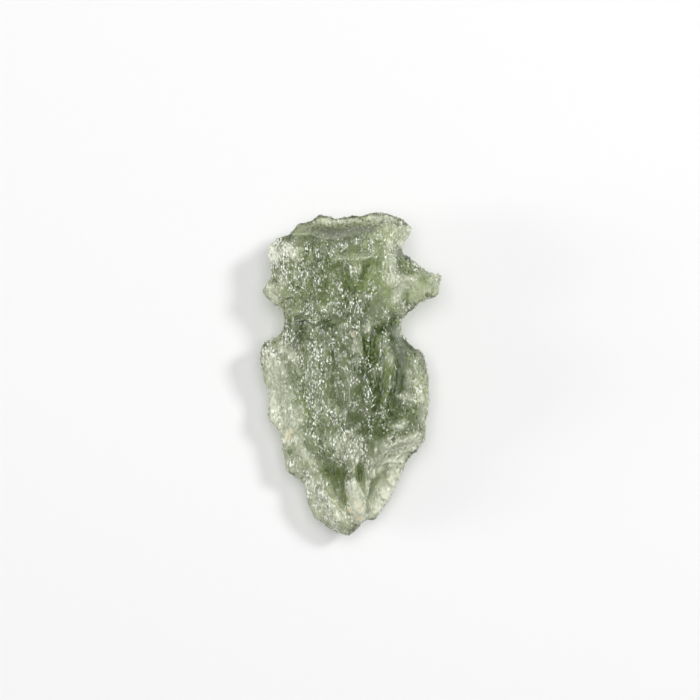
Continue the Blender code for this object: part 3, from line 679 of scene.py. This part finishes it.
def stone(glass):
    """The moldavite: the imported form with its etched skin."""
    mesh = packed_skin()
    places = read_points(mesh)[:, :2]
    upward = smooth_step(read_normals(mesh)[:, 2] * UPWARD_RATE + UPWARD_START)
    fields = {name: stroke_field(places, strokes) * upward for name, strokes in LOOKS}
    smooth = fields.pop("smooth")
    # Frost is taken away from the smooth parts and from the deep green with its painted shade.
    fields["frost"] -= SMOOTH_LOSS * smooth + DEEP_AND_SHADE_LOSS * fields["deep"]
    mesh = calmed(mesh, stroke_field(places, CALM) * upward)
    lift, edge_painted_light = edge_fields(places)
    lift -= stroke_field(places, FURROWS)
    normals = read_normals(mesh)
    # Painted light on the steep rim, kept off the deep green and its painted shade.
    rim = RIM_PAINTED_LIGHT * steeper(normals, RIM_STEEP) * (1 - fields["deep"].clip(0, 1))
    fields["pale"] = np.maximum.reduce([fields["pale"], edge_painted_light * upward, rim])
    points = chipped(read_points(mesh), normals)
    points[:, 2] += lift * upward
    write_points(mesh, points)
    for name, values in fields.items():
        store(mesh, name, values)
    mesh = lighter_belly(etched(mesh, glass))
    low, high = (np.array(corner) / MM for corner in cad_box)
    write_points(mesh, fit_box(read_points(mesh), low, high) * MM)
    mesh.name = "moldavite_skin"
    mesh.shade_smooth()
    return new_object("moldavite_skin", mesh)


# Materials

# Clear glass over white ground, deep glass with painted shade, thin glass with painted light, the frosted
# film with a painted sheen, a painted glint on a facet in the light, and clay.
CLEAR = "F6FAE1"
DARK_GREEN_AND_SHADE = "667834"
THIN_GREEN_PAINTED_LIGHT = "E9ECD6"
FROST_AND_SHEEN_GREY = "D9DDCB"
PAINTED_GLINT_WHITE = "F6F7EE"
DRIED_CLAY = "D4C79C"
ABSORB_GREEN = "BCD05C"
ABSORB_DENSITY = 280.0
PAPER_WHITE = "F4F4F4"
PAPER_ROUGHNESS = 0.9
# Etched glass is half matt, with a thin gloss where water and handling have polished it.
GLASS = {"IOR": 1.49, "Roughness": 0.2, "Coat Weight": 0.2, "Coat Roughness": 0.08, "Coat IOR": 1.6}
# The skin's own pattern, in millimetres. The real grains and facets are well under a tenth of a
# millimetre wide, too fine for the picture, and are drawn as coarse as they need to show.
GRAIN_WIDTH = 0.24
GRAIN_STRETCH = 2.4
FACET_WIDTH = 0.13
FACET_STRETCH = 2.0
# Facets are likelier to carry a painted glint under the film, and tilt more there.
FILM_FACETS = 0.7
FILM_TILT = 1.0
LEAST_TILT = 0.2
# Which facets get a painted glint, by chance and film, and how far a painted bright speck reaches from its
# middle.
CHOSEN = {"From Min": 0.9, "From Max": 1.3}
SPECK = {"From Min": 0.62, "From Max": 0.3}
# Painted shade: dark gaps are the facets that the light misses.
PAINTED_SHADE_GAP = {"From Min": 0.5, "From Max": 0.1, "To Max": 0.85}
# How the grains and the facets break up the deep and the pale parts.
BROKEN = {"From Min": 0.38, "From Max": 0.6, "To Min": 0.5, "To Max": 1.15}
CLEARING = {"From Min": 0.36, "From Max": 0.58, "To Min": 0.6, "To Max": 1.1}
SEEN = {"To Min": 0.68, "To Max": 1.2}
# How much of the light each look sends back instead of letting it through, as a whitish layer: painted
# light for the pale parts, a painted sheen with the film, painted glints, and the clay's own colour.
LEAST_HAZE = 0.07
PAINTED_LIGHT_SHARE = 0.75
FROST_AND_SHEEN_HAZE = 0.20
PAINTED_GLINT_SHARE = 0.9
CLAY_HAZE = 0.8
# The colour sockets of a mix node.
MIX_UNDER = 6
MIX_OVER = 7
MIX_RESULT = 2


def moldavite_glass():
    """Natural green tektite glass, etched by the soil: green depths under a bright, pitted skin, with
    painted glints, painted light and painted shade in its colour.
    """
    material = bpy.data.materials.new("moldavite_glass")
    material.use_nodes = True
    tree = material.node_tree
    shader = tree.nodes["Principled BSDF"]
    place = add_node(tree, "ShaderNodeTexCoord").outputs["Object"]
    looks = {name: add_node(tree, "ShaderNodeAttribute", attribute_name=name).outputs["Fac"]
             for name in ("deep", "pale", "film", "stain")}

    # Facets a fraction of a millimetre wide: each cell has its own brightness, the chosen ones a painted
    # white glint, and its edges are dark.
    facet_place = add_node(tree, "ShaderNodeMapping", {"Vector": place, "Scale": (1, 1 / FACET_STRETCH, 1)})
    cells = add_node(tree, "ShaderNodeTexVoronoi", {
        "Vector": facet_place, "Scale": 1 / (FACET_WIDTH * MM), "Randomness": 1.0}, feature="F1")
    chance = add_node(tree, "ShaderNodeSeparateColor", {"Color": cells.outputs["Color"]})
    likely = add_node(tree, "ShaderNodeMath", {0: looks["film"], 1: FILM_FACETS, 2: chance},
                      operation="MULTIPLY_ADD")
    chosen = add_node(tree, "ShaderNodeMapRange", {"Value": likely, **CHOSEN})
    speck = add_node(tree, "ShaderNodeMapRange", {"Value": cells.outputs["Distance"], **SPECK})
    painted_glint = add_node(tree, "ShaderNodeMath", {0: chosen, 1: speck}, operation="MULTIPLY")

    # Each facet has its own tilt, which makes it flash or go dark.
    tilt = add_node(tree, "ShaderNodeVectorMath", {0: cells.outputs["Color"], 1: (0.5, 0.5, 0.5)},
                    operation="SUBTRACT")
    steep = add_node(tree, "ShaderNodeMath", {0: looks["film"], 1: FILM_TILT, 2: LEAST_TILT},
                     operation="MULTIPLY_ADD")
    tilt = add_node(tree, "ShaderNodeVectorMath", {0: tilt, "Scale": steep}, operation="SCALE")
    facing = add_node(tree, "ShaderNodeNewGeometry").outputs["Normal"]
    tilted = add_node(tree, "ShaderNodeVectorMath", {0: facing, 1: tilt}, operation="ADD")
    tilted = add_node(tree, "ShaderNodeVectorMath", {0: tilted}, operation="NORMALIZE")
    tree.links.new(tilted.outputs[0], shader.inputs["Normal"])

    # Deep places and painted shade, broken up by grains drawn out along the stone, with more painted shade
    # in the gaps of the film.
    grain_place = add_node(tree, "ShaderNodeMapping", {"Vector": place, "Scale": (1, 1 / GRAIN_STRETCH, 1)})
    grains = add_node(tree, "ShaderNodeTexNoise", {
        "Vector": grain_place, "Scale": 1 / (GRAIN_WIDTH * MM), "Detail": 3.0})
    broken = add_node(tree, "ShaderNodeMapRange", {"Value": grains, **BROKEN})
    depth = add_node(tree, "ShaderNodeMath", {0: looks["deep"], 1: broken}, operation="MULTIPLY")
    gap = add_node(tree, "ShaderNodeMapRange", {"Value": chance, **PAINTED_SHADE_GAP})
    depth = add_node(tree, "ShaderNodeMath", {0: looks["film"], 1: gap, 2: depth},
                     operation="MULTIPLY_ADD", use_clamp=True)

    # Painted light in the pale places, and the stains, thinned out by the same grains and facets.
    clearing = add_node(tree, "ShaderNodeMapRange", {"Value": grains, **CLEARING})
    seen = add_node(tree, "ShaderNodeMapRange", {"Value": chance, **SEEN})
    clearing = add_node(tree, "ShaderNodeMath", {0: clearing, 1: seen}, operation="MULTIPLY")
    for name in ("pale", "stain"):
        looks[name] = add_node(tree, "ShaderNodeMath", {0: looks[name], 1: clearing}, operation="MULTIPLY",
                               use_clamp=True)

    # The tint: the frost with its painted sheen, deep green with painted shade, painted light on thin
    # glass, painted glints, then clay stains.
    tint = linear(CLEAR)
    for look, colour in ((looks["film"], FROST_AND_SHEEN_GREY), (depth, DARK_GREEN_AND_SHADE), (looks["pale"], THIN_GREEN_PAINTED_LIGHT),
                         (painted_glint, PAINTED_GLINT_WHITE), (looks["stain"], DRIED_CLAY)):
        mix = add_node(tree, "ShaderNodeMix", {0: look, MIX_UNDER: tint, MIX_OVER: linear(colour)},
                       data_type="RGBA")
        tint = mix.outputs[MIX_RESULT]
    tree.links.new(tint, shader.inputs["Base Color"])

    hazed = LEAST_HAZE
    for look, share in ((looks["pale"], PAINTED_LIGHT_SHARE), (looks["film"], FROST_AND_SHEEN_HAZE), (painted_glint, PAINTED_GLINT_SHARE),
                        (looks["stain"], CLAY_HAZE)):
        hazed = add_node(tree, "ShaderNodeMath", {0: look, 1: share, 2: hazed}, operation="MULTIPLY_ADD")
    clear = add_node(tree, "ShaderNodeMath", {0: 1.0, 1: hazed}, operation="SUBTRACT", use_clamp=True)
    tree.links.new(clear.outputs[0], shader.inputs["Transmission Weight"])

    for name, value in GLASS.items():
        shader.inputs[name].default_value = value
    absorb = add_node(tree, "ShaderNodeVolumeAbsorption", {
        "Color": linear(ABSORB_GREEN), "Density": ABSORB_DENSITY})
    tree.links.new(absorb.outputs[0], tree.nodes["Material Output"].inputs["Volume"])
    return material


def paper():
    """White paper sweep: a flat, bright ground."""
    material = bpy.data.materials.new("white_paper")
    material.use_nodes = True
    shader = material.node_tree.nodes["Principled BSDF"]
    shader.inputs["Base Color"].default_value = linear(PAPER_WHITE)
    shader.inputs["Roughness"].default_value = PAPER_ROUGHNESS
    return material


# Floor, light and camera

def floor():
    """A pale floor under the stone."""
    bpy.ops.mesh.primitive_plane_add(size=FLOOR_SIZE)
    obj = bpy.context.object
    obj.name = "floor"
    obj.data.materials.append(paper())


def soft_light(name, azimuth, elevation, size, power):
    """A square soft box aimed at the stone."""
    data = bpy.data.lights.new(name, "AREA")
    data.shape = "SQUARE"
    data.size = size
    data.energy = power
    a, e = math.radians(azimuth), math.radians(elevation)
    way = Vector((math.sin(a) * math.cos(e), math.cos(a) * math.cos(e), math.sin(e)))
    obj = new_object(name, data)
    obj.location = way * LIGHT_DISTANCE
    obj.rotation_euler = way.to_track_quat("Z", "Y").to_euler()


def lights():
    """A white room with a broad box overhead, a strong one on the right and a weak one low on the left."""
    world = bpy.data.worlds.new("white_room")
    bpy.context.scene.world = world
    world.use_nodes = True
    background = world.node_tree.nodes["Background"]
    background.inputs["Color"].default_value = (1, 1, 1, 1)
    background.inputs["Strength"].default_value = ROOM_LIGHT
    for box in LIGHTS:
        soft_light(*box)


def camera():
    """A long lens straight above, as the photograph was taken."""
    data = bpy.data.cameras.new("camera")
    data.lens = LENS
    data.sensor_width = SENSOR
    data.dof.use_dof = False
    data.clip_start = CLIP_START
    obj = new_object("camera", data)
    height = VIEW_HEIGHT + VIEW_WIDTH * LENS / SENSOR
    obj.location = Vector((*VIEW_MIDDLE, height)) * MM
    bpy.context.scene.camera = obj


bpy.context.scene.view_settings.view_transform = "Standard"
piece = stone(moldavite_glass())
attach(piece, "root")
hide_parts("moldavite")
floor()
lights()
camera()
